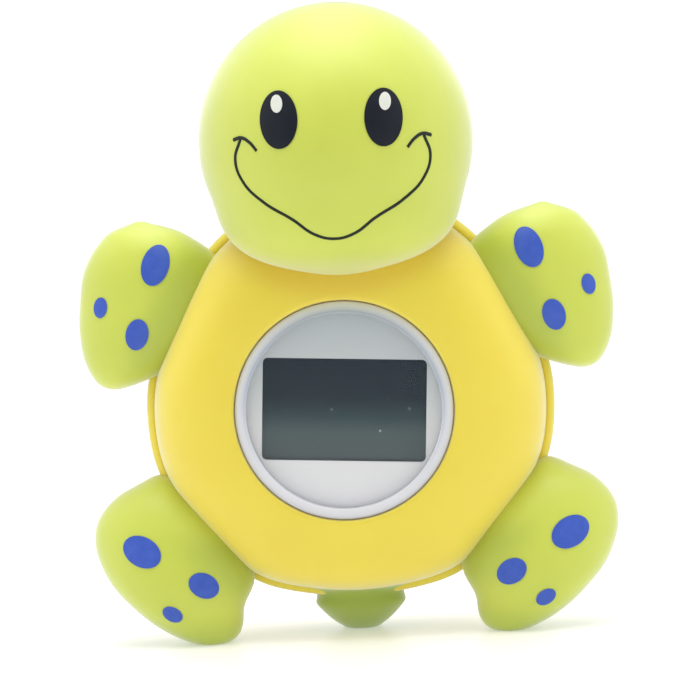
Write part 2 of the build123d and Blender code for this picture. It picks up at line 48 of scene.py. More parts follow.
# ---- Head and shell ----
HEAD_RADIUS = 23.8
HEAD_CENTRE = (0.0, -1.8, 87.5)
JAW_START = math.radians(20)  # below the ball's middle, where the jaw begins to fill out
JAW_FULL = math.radians(43)
JAW_END = math.radians(74)
JAW_PROUD = 1.6
BACK_FLAT = 25.6  # Y of the flat middle of the back
BELLY_FRONT = -6.9
BEAD = 3.5  # width of the bead round the shell's rim
BEAD_PROUD = 1.5  # how far it stands outside the belly
BACK_INSET = BEAD_PROUD * 1.15  # how far it stands outside the back
PARTING = 6.85  # Y where the belly meets the bead
SHELL_MID = PARTING + BEAD / 2
BELLY_PUFF = (0.85, 0.8)  # powers that fill out the belly's curve, across and forwards; 1 is an ellipse
BACK_DOME = (0.75, 0.9)  # the same for the back
BELLY_MOUTH = 20.3  # radius where the belly's curve meets the lip of the socket
BACK_MOUTH = 20.0  # radius where the back turns flat
SKIN = 1.6  # wall of the belly and the back
TUCK_IN = 0.05  # how far the belly's edge is tucked inside the bead, and behind its front
TUCK_BACK = 1.0
BEAD_ROUND = 0.8  # power that squares off the bead a little; 1 is a circle
HEAD_CUTS = 31  # cuts along each side of the cube that a ball starts from
LIMB_CUTS = 23
BELLY_STEPS = 12  # rings over the belly, the bead and the back
BEAD_STEPS = 8
BACK_STEPS = 36

# ---- Capsule ----
CAPSULE_X = -0.8
CAPSULE_Z = 40.7
DISPLAY_TURN = math.radians(3.6)
LENS_RADIUS = 19.0
RIM_INNER = 16.9  # radius where the lens's rim starts: opaque there, and painted with refraction and shading
DIAL_SPAN = (24.0, 58.0)  # lowest and highest Z of the dial's and the display's painted reflections, and of the rim's change of painted shading
FILM_SPAN = (31.3, 50.1)
RIM_SHADING_SPAN = (26.0, 46.0)

# The sides of the shell's outline: the direction each one faces, in degrees from the right, and
# how far it stands from the capsule's middle. The corners between them are round.
SHELL_SIDES = [(-78.5, 34.8), (-39.3, 34.9), (-4.2, 36.3), (26.9, 35.4), (55.6, 38.1), (80.0, 39.0)]
CORNER_POWER = 20  # a higher power makes tighter corners

# Round the edges of the openings and of the lens: radius and Y.
SOCKET_PROFILE = [
    (19.7, -6.9), (19.3, -6.75), (19.15, -6.4), (19.15, -5.2), (18.6, -5.1), (18.55, -4.6), (18.55, 2.1),
]
REAR_PROFILE = [(17.5, 25.6), (15.9, 25.6), (15.35, 25.4), (15.15, 24.9), (15.15, 19.6)]
LENS_PROFILE = [
    (0.0, -7.2), (8.0, -7.2), (16.4, -7.2), (17.0, -7.18), (17.35, -7.08), (18.0, -6.78), (18.65, -6.46),
    (18.92, -6.26), (LENS_RADIUS, -6.0), (LENS_RADIUS, -5.4), (18.9, -5.26), (17.4, -5.24), (0.0, -5.24),
]

# Level stations of the limbs on the right and of the tail: Z, inner X, outer X, half thickness and middle Y.
ARM = [
    (74.3, 33.9, 37.0, 1.4, SHELL_MID - 1.0),
    (73.2, 30.1, 40.2, 3.8, SHELL_MID - 1.0),
    (71.1, 26.2, 42.8, 6.0, SHELL_MID - 0.9),
    (67.0, 21.4, 45.5, 7.9, SHELL_MID - 0.7),
    (60.9, 19.9, 46.8, 8.6, SHELL_MID - 0.5),
    (54.7, 23.0, 47.1, 8.3, SHELL_MID - 0.7),
    (50.7, 27.6, 46.5, 7.2, SHELL_MID - 1.0),
    (47.9, 32.6, 45.3, 5.4, SHELL_MID - 1.4),
    (46.2, 36.9, 44.0, 3.1, SHELL_MID - 1.7),
    (45.5, 39.4, 42.8, 1.4, SHELL_MID - 1.8),
]
LEG = [
    (29.3, 32.6, 35.9, 2.6, SHELL_MID - 0.5),
    (28.3, 30.0, 37.9, 4.6, SHELL_MID - 0.6),
    (26.3, 26.5, 41.8, 6.8, SHELL_MID - 0.8),
    (22.3, 22.4, 45.5, 8.8, SHELL_MID - 1.4),
    (18.3, 19.9, 46.3, 9.6, SHELL_MID - 2.1),
    (14.2, 18.5, 45.3, 9.8, SHELL_MID - 2.8),
    (10.1, 18.5, 43.1, 9.4, SHELL_MID - 3.4),
    (6.0, 20.4, 39.3, 8.4, SHELL_MID - 3.9),
    (2.6, 20.9, 35.0, 6.9, SHELL_MID - 4.2),
    (0.8, 21.9, 31.6, 5.5, SHELL_MID - 4.4),
    (0.0, 23.3, 29.4, 4.2, SHELL_MID - 4.5),
]
TAIL = [
    (12.0, -9.8, 9.8, 7.0, SHELL_MID + 1.5),
    (8.0, -9.2, 9.2, 6.9, SHELL_MID + 2.6),
    (4.6, -7.8, 7.8, 6.2, SHELL_MID + 4.0),
    (2.6, -6.1, 6.1, 5.2, SHELL_MID + 5.0),
    (0.7, -3.9, 3.9, 3.6, SHELL_MID + 6.0),
    (0.0, -2.7, 2.7, 2.5, SHELL_MID + 6.3),
]
CAP_TOP = 0.35  # how far a limb's ball reaches above its top station, and below its bottom one
CAP_BOTTOM = 0.25
SOLE = 0.4  # as CAP_BOTTOM, where the floor cuts it off flat

# The painted face, as places across and above the head's middle before the face's small turn.
FACE_X = -0.15
FACE_TURN = math.radians(-1.4)
EYE_AT = (8.8, 3.95)
EYE_SIZE = (3.2, 4.9)
GLINT_AT = (0.26, 2.65)  # from the eye's middle
GLINT_SIZE = (0.98, 1.5)
MOUTH = [  # the right half
    (15.4, 0.75), (16.4, -2.6), (15.2, -6.4), (11.9, -9.8), (6.9, -12.9), (3.2, -15.5), (0.0, -16.25),
]
MOUTH_CORNER = [(16.6, 0.7), (15.2, 1.0), (13.9, 0.3), (12.6, -1.2)]
PAINT = 0.12  # how far the paint stands proud
PAINT_GAP = 0.02  # clearance under an oval of paint
PAINT_LINE = 0.4  # half the width of the mouth's line
PAINT_FROM = -60  # Y in front of the head, where each mark starts before it is laid on

# Blue spots on the right limbs: X, Z, half length, half width and the lean of the length from upright.
ARM_SPOTS = [(32.6, 67.1, 3.6, 2.4, -18), (42.7, 60.1, 1.8, 1.2, -10), (36.4, 55.2, 2.75, 2.0, -14)]
LEG_SPOTS = [(37.4, 17.3, 3.5, 2.6, 62), (26.9, 11.0, 2.75, 2.1, 58), (32.6, 6.2, 1.85, 1.3, 60)]

# Painted shade in the castings' creases, beside the shell and at the soles, and a painted shadow under the
# chin.
PAINTED_SHADE_STRENGTH = 0.5  # strength
PAINTED_SHADE_REACH = 6.5  # how far it fades out
FOOT_TOP = 22.0  # above here the hind feet stay the paler shade

# Grooves between the scutes of the back.
SCUTES = 10  # large ones round the battery cap, with two small ones outside each
SCUTE_RING = 29.5  # the groove between the large and the small ones
GROOVE = 1.1  # depth
GROOVE_HALF = 1.0
GROOVE_RISE = 0.3  # the turns, in radians, over which grooves fade in from the bead and out at the flat
GROOVE_FALL = 0.12


# ---- Modelling helpers ----
def deselect():
    """Leave nothing selected, so that the next operator acts on what is chosen for it."""
    bpy.ops.object.select_all(action="DESELECT")


def started(name):
    """The primitive that was just added, under that name."""
    piece = bpy.context.active_object
    piece.name = name
    piece.data.name = name
    return piece


def choose(piece):
    """Select that piece alone, and make it the active one."""
    deselect()
    piece.select_set(True)
    bpy.context.view_layer.objects.active = piece


def settle(piece):
    """Put the piece's place and turn into its mesh."""
    choose(piece)
    bpy.ops.object.transform_apply(location=True, rotation=True, scale=True)


def apply_all(piece):
    """Apply the piece's modifiers in order."""
    choose(piece)
    for modifier in list(piece.modifiers):
        bpy.ops.object.modifier_apply(modifier=modifier.name)


def smooth(piece, angle=None):
    """Shade the piece smooth, or smooth up to an angle in degrees."""
    choose(piece)
    if angle is None:
        bpy.ops.object.shade_smooth()
    else:
        bpy.ops.object.shade_smooth_by_angle(angle=math.radians(angle))


def subdivide(piece, levels):
    """Round the piece with a subdivision surface."""
    rounding = piece.modifiers.new("rounding", "SUBSURF")
    rounding.levels = levels
    rounding.render_levels = levels


def face_outwards(piece):
    """Point all of the piece's faces outwards."""
    choose(piece)
    bpy.ops.object.mode_set(mode="EDIT")
    bpy.ops.mesh.select_all(action="SELECT")
    bpy.ops.mesh.normals_make_consistent(inside=False)
    bpy.ops.object.mode_set(mode="OBJECT")


def mirrored(piece, name):
    """A copy of the piece on the other side of x = 0, with its own mesh."""
    choose(piece)
    bpy.ops.object.duplicate()
    copy = started(name)
    copy.scale.x = -1
    settle(copy)
    face_outwards(copy)
    return copy


def quad_ball(name, cuts):
    """A ball of even squares with no poles, of radius 1, at the origin."""
    deselect()
    bpy.ops.mesh.primitive_cube_add(size=2)
    ball = started(name)
    bpy.ops.object.mode_set(mode="EDIT")
    bpy.ops.mesh.select_all(action="SELECT")
    bpy.ops.mesh.subdivide(number_cuts=cuts)
    bpy.ops.transform.tosphere(value=1.0)
    bpy.ops.object.mode_set(mode="OBJECT")
    for vertex in ball.data.vertices:
        vertex.co.normalize()
    return ball


def along(stations, level):
    """The stations' other values at that level, by a smooth curve through them."""
    last = len(stations) - 1
    i = next((k for k in range(last) if stations[k + 1][0] <= level), last - 1)
    a, b = stations[i], stations[i + 1]
    before = stations[max(i - 1, 0)]
    after = stations[min(i + 2, last)]
    step = b[0] - a[0]
    t = (level - a[0]) / step
    values = []
    for k in range(1, len(a)):
        slope_a = (b[k] - before[k]) / (b[0] - before[0]) * step
        slope_b = (after[k] - a[k]) / (after[0] - a[0]) * step
        values.append(
            a[k] * (2 * t**3 - 3 * t**2 + 1)
            + slope_a * (t**3 - 2 * t**2 + t)
            + b[k] * (3 * t**2 - 2 * t**3)
            + slope_b * (t**3 - t**2)
        )
    return values


def limb_pad(name, stations):
    """A soft closed pad: a ball whose levels are stretched to the stations' ovals."""
    top, bottom = stations[0][0], stations[-1][0]
    high, low = top + CAP_TOP, bottom - (CAP_BOTTOM if bottom > 0 else SOLE)
    middle, half = (high + low) / 2, (high - low) / 2
    rounded = []
    for z, inner, outer, half_thick, y in stations:
        waist = math.sqrt(max(1 - ((z - middle) / half) ** 2, 0.0))
        rounded.append((z, (inner + outer) / 2, (outer - inner) / 2 / waist, half_thick / waist, y))
    pad = quad_ball(name, LIMB_CUTS)
    for vertex in pad.data.vertices:
        z = middle + half * vertex.co.z
        x, wide, thick, y = along(rounded, min(max(z, bottom), top))
        vertex.co = Vector((x + wide * vertex.co.x, y + thick * vertex.co.y, max(z, min(bottom, 0.0)))) * MM
    paint_shade(pad, limb_painted_shade)
    smooth(pad)
    return pad


def shell_radius(angle, inset=0.0):
    """How far the shell's outline, drawn in by inset, stands from the capsule's middle."""
    total = 0.0
    for facing, distance in SHELL_SIDES:
        for side in (facing, 180 - facing):
            across = math.cos(angle - math.radians(side))
            if across > 0:
                total += (across / (distance - inset)) ** CORNER_POWER
    return total ** (-1 / CORNER_POWER)


def ring_skin(name, rings, count):
    """Extrude a circle ring by ring. Each ring is a function from an angle to a point."""
    deselect()
    bpy.ops.mesh.primitive_circle_add(vertices=count, fill_type="NOTHING")
    skin = started(name)
    bpy.ops.object.mode_set(mode="EDIT")
    mesh = bmesh.from_edit_mesh(skin.data)
    place = mesh.verts.layers.int.new("place")
    for vertex in mesh.verts:
        vertex[place] = round(math.atan2(vertex.co.y, vertex.co.x) / math.tau * count) % count
    for index, ring in enumerate(rings):
        if index:
            bpy.ops.mesh.extrude_region()
            mesh = bmesh.from_edit_mesh(skin.data)
            place = mesh.verts.layers.int["place"]
        for vertex in mesh.verts:
            if vertex.select:
                vertex.co = Vector(ring(math.tau * vertex[place] / count)) * MM
        bmesh.update_edit_mesh(skin.data)
    bpy.ops.object.mode_set(mode="OBJECT")
    face_outwards(skin)
    return skin


def eased(share):
    """0 to 1 with a soft start and end."""
    share = min(max(share, 0), 1)
    return share * share * (3 - 2 * share)


def polar(radius, y, angle, x=0.0):
    """A point at that angle and radius about an axis through the capsule's height."""
    return (x + radius * math.cos(angle), y, CAPSULE_Z + radius * math.sin(angle))


def paint_shade(piece, depth_at):
    """Store how much painted shade each point has, from a function of its place in millimetres."""
    layer = piece.data.attributes.new("painted_shade", "FLOAT", "POINT")
    for vertex, item in zip(piece.data.vertices, layer.data):
        item.value = depth_at(*(vertex.co / MM))


def limb_painted_shade(x, y, z):
    """Painted shade: deeper at the sole, and beside the shell except on top of the hind feet."""
    beyond_shell = math.hypot(x, z - CAPSULE_Z) - shell_radius(math.atan2(z - CAPSULE_Z, x))
    beside_shell = 1 - eased(beyond_shell / PAINTED_SHADE_REACH)
    if z < CAPSULE_Z:
        beside_shell *= eased((FOOT_TOP - z) / PAINTED_SHADE_REACH)
    return PAINTED_SHADE_STRENGTH * max(beside_shell, 1 - eased(z / PAINTED_SHADE_REACH))


def chin_painted_shadow(x, y, z):
    """Painted shadow under the chin, deeper close to it."""
    beyond_chin = math.hypot(x, z - HEAD_CENTRE[2]) - HEAD_RADIUS
    return PAINTED_SHADE_STRENGTH * (1 - eased(beyond_chin / PAINTED_SHADE_REACH))


def lay_on(piece, under, lift):
    """Move the piece's points straight back until they lie on the piece under it."""
    laying = piece.modifiers.new("laying", "SHRINKWRAP")
    laying.target = under
    laying.wrap_method = "PROJECT"
    laying.wrap_mode = "ABOVE_SURFACE"
    laying.use_project_x = False
    laying.use_project_y = True
    laying.use_project_z = False
    laying.use_positive_direction = True
    laying.use_negative_direction = False
    laying.offset = lift * MM


def painted_patch(name, under, place, size, lean, lift=PAINT_GAP):
    """An oval of paint of that half width and height, laid on the piece under it from the front."""
    deselect()
    bpy.ops.mesh.primitive_circle_add(vertices=48, fill_type="NOTHING")
    patch = started(name)
    bpy.ops.object.mode_set(mode="EDIT")
    bpy.ops.mesh.select_all(action="SELECT")
    bpy.ops.mesh.fill_grid()
    bpy.ops.object.mode_set(mode="OBJECT")
    patch.scale = (size[0] * MM, size[1] * MM, 1)
    patch.rotation_euler = (math.pi / 2, lean, 0)
    patch.location = Vector((place[0], PAINT_FROM, place[1])) * MM
    settle(patch)
    lay_on(patch, under, lift)
    film = patch.modifiers.new("film", "SOLIDIFY")
    film.thickness = PAINT * MM
    film.offset = 1
    apply_all(patch)
    smooth(patch, 40)
    return patch


def painted_line(name, under, points, radius):
    """A round-ended line of paint through those points, laid on the piece under it from the front."""
    curve = bpy.data.curves.new(name, "CURVE")
    curve.dimensions = "3D"
    curve.resolution_u = 16
    spline = curve.splines.new("BEZIER")
    spline.bezier_points.add(len(points) - 1)
    for knot, (x, z) in zip(spline.bezier_points, points):
        knot.co = Vector((x, PAINT_FROM, z)) * MM
        knot.handle_left_type = knot.handle_right_type = "AUTO"
    line = bpy.data.objects.new(name, curve)
    bpy.context.collection.objects.link(line)
    choose(line)
    bpy.ops.object.convert(target="MESH")
    lay_on(line, under, 0.0)
    apply_all(line)
    bpy.ops.object.convert(target="CURVE")
    for run in line.data.splines:
        for point in run.points:
            point.co.y += (radius - PAINT) * MM
    line.data.bevel_depth = radius * MM
    line.data.bevel_resolution = 3
    line.data.use_fill_caps = True
    bpy.ops.object.convert(target="MESH")
    smooth(line, 60)
    return line


def on_face(x, z):
    """The X and Z of a place on the face, after the face's small turn."""
    return (
        HEAD_CENTRE[0] + FACE_X + x * math.cos(FACE_TURN) - z * math.sin(FACE_TURN),
        HEAD_CENTRE[2] + x * math.sin(FACE_TURN) + z * math.cos(FACE_TURN),
    )


# ---- The turtle ----
def make_head():
    """A ball with fuller cheeks."""
    head = quad_ball("head_casting", HEAD_CUTS)
    for vertex in head.data.vertices:
        below = math.asin(max(min(-vertex.co.z, 1), -1))
        fuller = eased((below - JAW_START) / (JAW_FULL - JAW_START))
        bulge = fuller * (1 - eased((below - JAW_FULL) / (JAW_END - JAW_FULL)))
        vertex.co = (vertex.co * (HEAD_RADIUS + JAW_PROUD * bulge) + Vector(HEAD_CENTRE)) * MM
    smooth(head)
    return head


def belly_point(angle, turn):
    """A point of the puffed front: turn 0 faces outwards at the bead, and 90 degrees faces forwards."""
    share = math.cos(turn) ** BELLY_PUFF[0]
    radius = BELLY_MOUTH + (shell_radius(angle, BEAD_PROUD) - BELLY_MOUTH) * share
    y = PARTING - (PARTING - BELLY_FRONT) * math.sin(turn) ** BELLY_PUFF[1]
    return polar(radius, y, angle, CAPSULE_X * (1 - share))


def round_rings(profile):
    """Rings round the capsule's axis, one for each radius and Y of a profile."""
    return [lambda a, r=radius, y=y: polar(r, y, a, CAPSULE_X) for radius, y in profile]


def belly_rings():
    """From behind the bead, over the puffed front, and back down the socket."""
    tuck = [lambda a: polar(shell_radius(a, BEAD_PROUD + TUCK_IN), PARTING + TUCK_BACK, a)]
    turns = [math.pi / 2 * step / BELLY_STEPS for step in range(BELLY_STEPS + 1)]
    front = [lambda a, t=turn: belly_point(a, t) for turn in turns]
    return tuck + front + round_rings(SOCKET_PROFILE)


def give_wall(casting):
    """Thicken a skin inwards to the casting's wall, and round it."""
    wall = casting.modifiers.new("wall", "SOLIDIFY")
    wall.thickness = SKIN * MM
    wall.offset = -1
    subdivide(casting, 1)
    apply_all(casting)


def make_belly():
    """The yellow front, with the lip and the bore that hold the capsule."""
    belly = ring_skin("belly_casting", belly_rings(), 96)
    give_wall(belly)
    paint_shade(belly, chin_painted_shadow)
    smooth(belly, 50)
    return belly


def groove_depth(angle, radius):
    """How deep the scutes' grooves are at that place on the back."""
    from_ring = abs(radius - SCUTE_RING)
    outside = radius > SCUTE_RING
    step = math.tau / (SCUTES * 2 if outside else SCUTES)
    turn = (angle - math.pi / 2) / step
    from_spoke = abs(turn - round(turn)) * step * radius
    return GROOVE * math.exp(-((min(from_ring, from_spoke) / GROOVE_HALF) ** 2))


def back_point(angle, turn):
    """A point of the domed back: turn 0 faces outwards at the bead, and 90 degrees faces back."""
    share = math.cos(turn) ** BACK_DOME[0]
    radius = BACK_MOUTH + (shell_radius(angle, BACK_INSET) - BACK_MOUTH) * share
    y = PARTING + BEAD + (BACK_FLAT - PARTING - BEAD) * math.sin(turn) ** BACK_DOME[1]
    fade = eased(turn / GROOVE_RISE) * eased((math.pi / 2 - turn) / GROOVE_FALL)
    depth = groove_depth(angle, radius) * fade
    return polar(radius - depth * math.cos(turn), y - depth * math.sin(turn), angle, CAPSULE_X * (1 - share))


def bead_point(angle, turn):
    """A point of the rounded bead: turn 0 faces the belly, and 180 degrees faces back."""
    inset = BACK_INSET * (1 - math.sin(turn) ** BEAD_ROUND)
    return polar(shell_radius(angle, inset), PARTING + BEAD / 2 - BEAD / 2 * math.cos(turn), angle)


def back_rings():
    """Round the bead, over the domed back, and in through the rear opening."""
    half_turns = [math.pi * step / BEAD_STEPS for step in range(BEAD_STEPS + 1)]
    quarter_turns = [math.pi / 2 * step / BACK_STEPS for step in range(1, BACK_STEPS + 1)]
    bead = [lambda a, t=turn: bead_point(a, t) for turn in half_turns]
    dome = [lambda a, t=turn: back_point(a, t) for turn in quarter_turns]
    return bead + dome + round_rings(REAR_PROFILE)


def make_back():
    """The yellow back with the bead round its rim, grooved between its scutes."""
    back = ring_skin("back_casting", back_rings(), 160)
    give_wall(back)
    smooth(back, 50)
    return back


def make_lens():
    """The bevelled window, turned from its profile, a hair clear of the dial behind it."""
    lens = ring_skin("bevelled_lens", round_rings(LENS_PROFILE), 128)
    bpy.ops.object.mode_set(mode="EDIT")
    bpy.ops.mesh.select_all(action="SELECT")
    bpy.ops.mesh.remove_doubles(threshold=0.001 * MM)
    bpy.ops.object.mode_set(mode="OBJECT")
    face_outwards(lens)
    smooth(lens, 25)
    return lens


# ---- Materials ----
def linear(colour):
    """An sRGB hex colour as linear red, green, blue and alpha."""
    parts = [int(colour[i : i + 2], 16) / 255 for i in (1, 3, 5)]
    return [c / 12.92 if c <= 0.04045 else ((c + 0.055) / 1.055) ** 2.4 for c in parts] + [1.0]


def add_node(tree, kind, settings=None, links=None):
    """Add a node, set its properties and sockets, and link sockets to other nodes' outputs."""
    node = tree.nodes.new(kind)
    for key, value in (settings or {}).items():
        if isinstance(key, int) or key in node.inputs:
            node.inputs[key].default_value = value
        else:
            setattr(node, key, value)
    for key, (source, output) in (links or {}).items():
        tree.links.new(source.outputs[output], node.inputs[key])
    return node


MIX_A, MIX_B, MIX_RESULT = 6, 7, 2  # the colour sockets of a Mix node


def surface(name, base, **settings):
    """A new material of one Principled surface, with its shader and its place on the piece."""
    material = bpy.data.materials.new(name)
    material.use_nodes = True
    tree = material.node_tree
    shader = next(n for n in tree.nodes if n.type == "BSDF_PRINCIPLED")
    shader.inputs["Base Color"].default_value = linear(base)
    for key, value in settings.items():
        shader.inputs[key.replace("_", " ").title().replace("Ior", "IOR")].default_value = value
    place = add_node(tree, "ShaderNodeTexCoord")
    return material, tree, shader, place


def mottle(tree, shader, place, base, shade, size, amount):
    """Soft patches of a second colour, about that many millimetres across."""
    patches = add_node(
        tree, "ShaderNodeTexNoise", {"Scale": 1 / (size * MM), "Detail": 3.0}, {"Vector": (place, "Object")}
    )
    share = add_node(
        tree, "ShaderNodeMapRange", {"From Min": 0.35, "From Max": 0.7, "To Max": amount},
        {"Value": (patches, "Fac")},
    )
    colours = {"data_type": "RGBA", MIX_A: linear(base), MIX_B: linear(shade)}
    blend = add_node(tree, "ShaderNodeMix", colours, {0: (share, 0)})
    tree.links.new(blend.outputs[MIX_RESULT], shader.inputs["Base Color"])
    return blend


def grain(tree, shader, place, size, depth, strength=0.3, stretch=(1, 1, 1)):
    """A fine relief with that grain size and depth in millimetres."""
    drawn = add_node(tree, "ShaderNodeMapping", {"Scale": stretch}, {"Vector": (place, "Object")})
    relief = add_node(
        tree, "ShaderNodeTexNoise", {"Scale": 1 / (size * MM), "Detail": 2.0}, {"Vector": (drawn, "Vector")}
    )
    bump = add_node(
        tree, "ShaderNodeBump", {"Strength": strength, "Distance": depth * MM}, {"Height": (relief, "Fac")}
    )
    tree.links.new(bump.outputs["Normal"], shader.inputs["Normal"])
    return relief


def soft_vinyl(name, base, shade, deep):
    """Rotationally cast soft PVC: satin and a little translucent, with painted shade in its creases and a
    painted shadow under the chin.
    """
    # The sheen is the pale bloom that soft vinyl has towards its edges.
    material, tree, shader, place = surface(
        name, base, roughness=0.46, ior=1.53, subsurface_weight=0.15, subsurface_scale=3.0 * MM,
        subsurface_radius=(1.0, 0.85, 0.25), sheen_weight=0.9, sheen_roughness=0.4,
        sheen_tint=linear("#ffffff"),
    )
    body = mottle(tree, shader, place, base, shade, 14, 0.35)
    # The deep colour is painted shade, mixed in as far as each point's stored amount says.
    painted_shade = add_node(tree, "ShaderNodeAttribute", {"attribute_name": "painted_shade"})
    tone = add_node(
        tree, "ShaderNodeMix", {"data_type": "RGBA", MIX_B: linear(deep)},
        {0: (painted_shade, "Fac"), MIX_A: (body, MIX_RESULT)},
    )
    tree.links.new(tone.outputs[MIX_RESULT], shader.inputs["Base Color"])
    grain(tree, shader, place, 0.6, 0.05, 0.06)
    return material


def pad_ink(name, base, shade, roughness):
    """Pad-printed vinyl ink: an even, thin, slightly glossy film with a trace of the pad's mottle."""
    material, tree, shader, place = surface(name, base, roughness=roughness, ior=1.5, specular_ior_level=0.3)
    mottle(tree, shader, place, base, shade, 1.6, 0.5)
    grain(tree, shader, place, 0.4, 0.02, 0.1)
    return material


def moulded(name, base, shade, roughness, grain_size=0.35, **settings):
    """Injection-moulded plastic or rubber: one colour right through, with a spark-eroded grain."""
    material, tree, shader, place = surface(name, base, roughness=roughness, **settings)
    mottle(tree, shader, place, base, shade, 5, 0.6)
    grain(tree, shader, place, grain_size, 0.03, 0.25)
    return material


def metal(name, base, shade, roughness, stretch=(1, 1, 1)):
    """Rolled, turned or plated metal: mirror-like under fine drawn scratches and faint stains."""
    material, tree, shader, place = surface(name, base, metallic=1.0)
    mottle(tree, shader, place, base, shade, 2.5, 0.7)
    scratches = grain(tree, shader, place, 0.25, 0.015, 0.3, stretch)
    wear = add_node(
        tree, "ShaderNodeMapRange", {"To Min": roughness * 0.75, "To Max": roughness * 1.3},
        {"Value": (scratches, "Fac")},
    )
    tree.links.new(wear.outputs[0], shader.inputs["Roughness"])
    return material


def display_height(tree, place, span):
    """0 to 1 from the lowest to the highest Z of that span, square to the display's slight turn."""
    turned = add_node(
        tree, "ShaderNodeMapping", {"Rotation": (0, -DISPLAY_TURN, 0)}, {"Vector": (place, "Object")}
    )
    split = add_node(tree, "ShaderNodeSeparateXYZ", {}, {"Vector": (turned, "Vector")})
    low, high = span
    return add_node(
        tree, "ShaderNodeMapRange", {"From Min": low * MM, "From Max": high * MM}, {"Value": (split, "Z")}
    )


def colour_ramp(tree, factor, stops):
    """A run of colours from (place, hex) stops."""
    ramp = add_node(tree, "ShaderNodeValToRGB", {}, {"Fac": (factor, 0)})
    elements = ramp.color_ramp.elements
    while len(elements) < len(stops):
        elements.new(0.5)
    for element, (position, colour) in zip(elements, stops):
        element.position = position
        element.color = linear(colour)
    return ramp


def silver_dial():
    """Card-thin polycarbonate screen-printed silver: a satin metallic, with a painted reflection that greys
    it towards its top and pales it low down.
    """
    material, tree, shader, place = surface(
        "silver screen-printed polycarbonate", "#d6dadb", roughness=0.34, metallic=0.25
    )
    height = display_height(tree, place, DIAL_SPAN)
    # Painted reflection: paler low down, where the white floor would show in it, greyer towards the top.
    tones = [(0.0, "#e9e9ec"), (0.35, "#e4e5e5"), (0.62, "#cfd4d6"), (1.0, "#bcc4c8")]
    painted_reflection_tone = colour_ramp(tree, height, tones)
    tree.links.new(painted_reflection_tone.outputs["Color"], shader.inputs["Base Color"])
    grain(tree, shader, place, 0.2, 0.01, 0.2)
    return material


def polarizing_film():
    """Polarizer over an unlit display: slate-dark, with a painted reflection that makes it paler and greener
    low down.
    """
    material, tree, shader, place = surface(
        "iodine polarizing film", "#3a484c", roughness=0.3, ior=1.49, specular_ior_level=0.2
    )
    height = display_height(tree, place, FILM_SPAN)
    # Painted reflection of the pale surroundings: darkest at the top, paler and greener low down, a little
    # darker at the very bottom edge.
    film_painted_reflection = colour_ramp(tree, height, [
        (0.0, "#333d4b"), (0.06, "#505c5e"), (0.28, "#4b5a5c"), (0.44, "#2a3e44"), (0.6, "#10252e"),
        (1.0, "#071d2b"),
    ])
    # Specks about 0.2 mm across and 10 mm apart, fading out above the display's middle.
    facing = add_node(
        tree, "ShaderNodeMapping", {"Rotation": (math.pi / 2, 0, 0)}, {"Vector": (place, "Object")}
    )
    dust = add_node(
        tree, "ShaderNodeTexVoronoi", {"voronoi_dimensions": "2D", "Scale": 1 / (10.5 * MM)},
        {"Vector": (facing, "Vector")},
    )
    settled = add_node(
        tree, "ShaderNodeMapRange", {"From Min": 0.65, "From Max": 0.25}, {"Value": (height, 0)}
    )
    speck = add_node(
        tree, "ShaderNodeMapRange", {"From Min": 0.021, "From Max": 0.012},
        {"Value": (dust, "Distance"), "To Max": (settled, 0)},
    )
    blend = add_node(
        tree, "ShaderNodeMix", {"data_type": "RGBA", MIX_B: linear("#b8c2c2")},
        {0: (speck, 0), MIX_A: (film_painted_reflection, "Color")},
    )
    tree.links.new(blend.outputs[MIX_RESULT], shader.inputs["Base Color"])
    grain(tree, shader, place, 3.0, 0.01, 0.1)
    return material


def clear_window():
    """Moulded polycarbonate window: clear and glossy over the dial; opaque round its bevel, with painted
    blue-grey refraction and shading that differ above and below.
    """
    material, tree, shader, place = surface("clear polycarbonate", "#ccd2da", ior=1.585)
    centred = add_node(
        tree, "ShaderNodeMapping", {"Location": (-CAPSULE_X * MM, 0, -CAPSULE_Z * MM), "Scale": (1, 0, 1)},
        {"Vector": (place, "Object")},
    )
    radius = add_node(tree, "ShaderNodeVectorMath", {"operation": "LENGTH"}, {0: (centred, 0)})
    rim = add_node(
        tree, "ShaderNodeMapRange", {"From Min": RIM_INNER * MM, "From Max": LENS_RADIUS * MM},
        {"Value": (radius, "Value")},
    )
    # Painted refraction and shading of the clear bevel: a dark line inside it and a yellowish reflected edge
    # at the top, paler and plainer below.
    upper_painted_refraction = colour_ramp(tree, rim, [
        (0.0, "#c9d0d8"), (0.2, "#aeb6c6"), (0.32, "#c6ccd6"), (0.6, "#dadde3"), (0.85, "#e0dfd6"),
        (1.0, "#cbc8b8"),
    ])
    lower_painted_refraction = colour_ramp(tree, rim, [(0.0, "#e8e8ed"), (0.4, "#e2e3ec"), (0.8, "#d9dbe8"), (1.0, "#c4c6d8")])
    tone = add_node(
        tree, "ShaderNodeMix", {"data_type": "RGBA"},
        {0: (display_height(tree, place, RIM_SHADING_SPAN), 0), MIX_A: (lower_painted_refraction, "Color"), MIX_B: (upper_painted_refraction, "Color")},
    )
    tree.links.new(tone.outputs[MIX_RESULT], shader.inputs["Base Color"])
    # The rim is made opaque so that its painted refraction shows, and the middle stays nearly clear.
    rim_opacity = add_node(
        tree, "ShaderNodeMapRange", {"From Min": 0.0, "From Max": 0.07, "To Min": 0.02, "To Max": 0.92},
        {"Value": (rim, 0)},
    )
    tree.links.new(rim_opacity.outputs[0], shader.inputs["Alpha"])
    marks = grain(tree, shader, place, 1.5, 0.004, 0.1, (1, 1, 0.3))
    wipes = add_node(tree, "ShaderNodeMapRange", {"To Min": 0.06, "To Max": 0.16}, {"Value": (marks, "Fac")})
    tree.links.new(wipes.outputs[0], shader.inputs["Roughness"])
    return material


